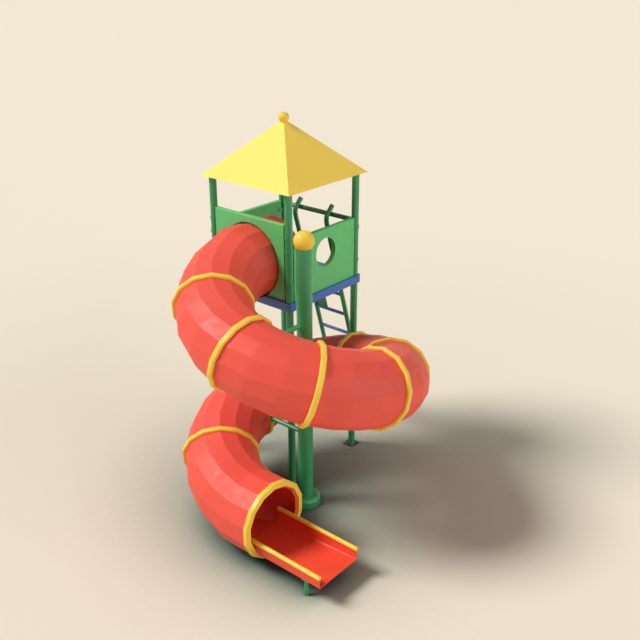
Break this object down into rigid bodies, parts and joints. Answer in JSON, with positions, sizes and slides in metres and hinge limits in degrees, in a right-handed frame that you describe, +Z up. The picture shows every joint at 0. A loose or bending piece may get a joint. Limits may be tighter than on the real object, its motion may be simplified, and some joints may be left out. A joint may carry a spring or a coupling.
{
  "type": "tube slide",
  "caption": "Playground tower with a pyramid roof, ladder and deck, and an enclosed spiral tube slide round a central column ending in an open chute.",
  "frame": {"origin": "centre of the column's foot on the ground, on the axis of the spiral", "axes": "+Z up; +X the way out of the chute; +Y from the front side of the tower to its ladder side"},
  "size_m": [3.1534, 3.7095, 4.476],
  "materials": {
    "green_steel": "gloss powder coat",
    "dark_steel": "matt dark paint",
    "black_plastic": "matt",
    "blue_steel": "satin powder coat",
    "green_plastic": "satin",
    "bolt_steel": "satin",
    "yellow_plastic": "satin",
    "yellow_rail": "satin",
    "red_plastic": "satin"
  },
  "bodies": {
    "root": {"chute": "red_plastic", "chute_leg_far": "green_steel", "chute_leg_near": "green_steel", "chute_rail_far": "yellow_rail", "chute_rail_near": "yellow_rail", "column": "green_steel", "column_ball": "yellow_plastic", "column_base": "dark_steel", "column_cover": "green_steel", "deck_collars": "green_steel", "deck_joists": "green_steel", "deck_tray": "blue_steel", "entry_rail": "green_steel", "inlet_flange": "red_plastic", "inlet_flange_bolts": "bolt_steel", "ladder_gusset": "green_steel", "ladder_rungs": "blue_steel", "ladder_stile_left": "green_steel", "ladder_stile_right": "green_steel", "mouth_ring": "yellow_plastic", "panel_bolts": "bolt_steel", "panel_clamps": "green_steel", "panel_left": "green_plastic", "panel_right": "green_plastic", "panel_tube": "green_plastic", "post_back": "green_steel", "post_base_back": "dark_steel", "post_base_front": "dark_steel", "post_base_left": "dark_steel", "post_base_right": "dark_steel", "post_caps": "black_plastic", "post_front": "green_steel", "post_left": "green_steel", "post_right": "green_steel", "roof_beams": "green_steel", "roof_finial": "yellow_plastic", "roof_shell": "yellow_plastic", "support_arm_1": "green_steel", "support_arm_2": "green_steel", "support_arm_3": "green_steel", "support_arm_4": "green_steel", "tube_bend_1": "red_plastic", "tube_bend_2": "red_plastic", "tube_bend_3": "red_plastic", "tube_bend_4": "red_plastic", "tube_bend_5": "red_plastic", "tube_bend_6": "red_plastic", "tube_bend_7": "red_plastic", "tube_bend_8": "red_plastic", "tube_inlet": "red_plastic", "tube_outlet": "red_plastic", "tube_ring_1": "yellow_plastic", "tube_ring_2": "yellow_plastic", "tube_ring_3": "yellow_plastic", "tube_ring_4": "yellow_plastic", "tube_ring_5": "yellow_plastic", "tube_ring_6": "yellow_plastic", "tube_ring_7": "yellow_plastic", "tube_ring_8": "yellow_plastic", "tube_ring_9": "yellow_plastic"}
  },
  "joints": []
}
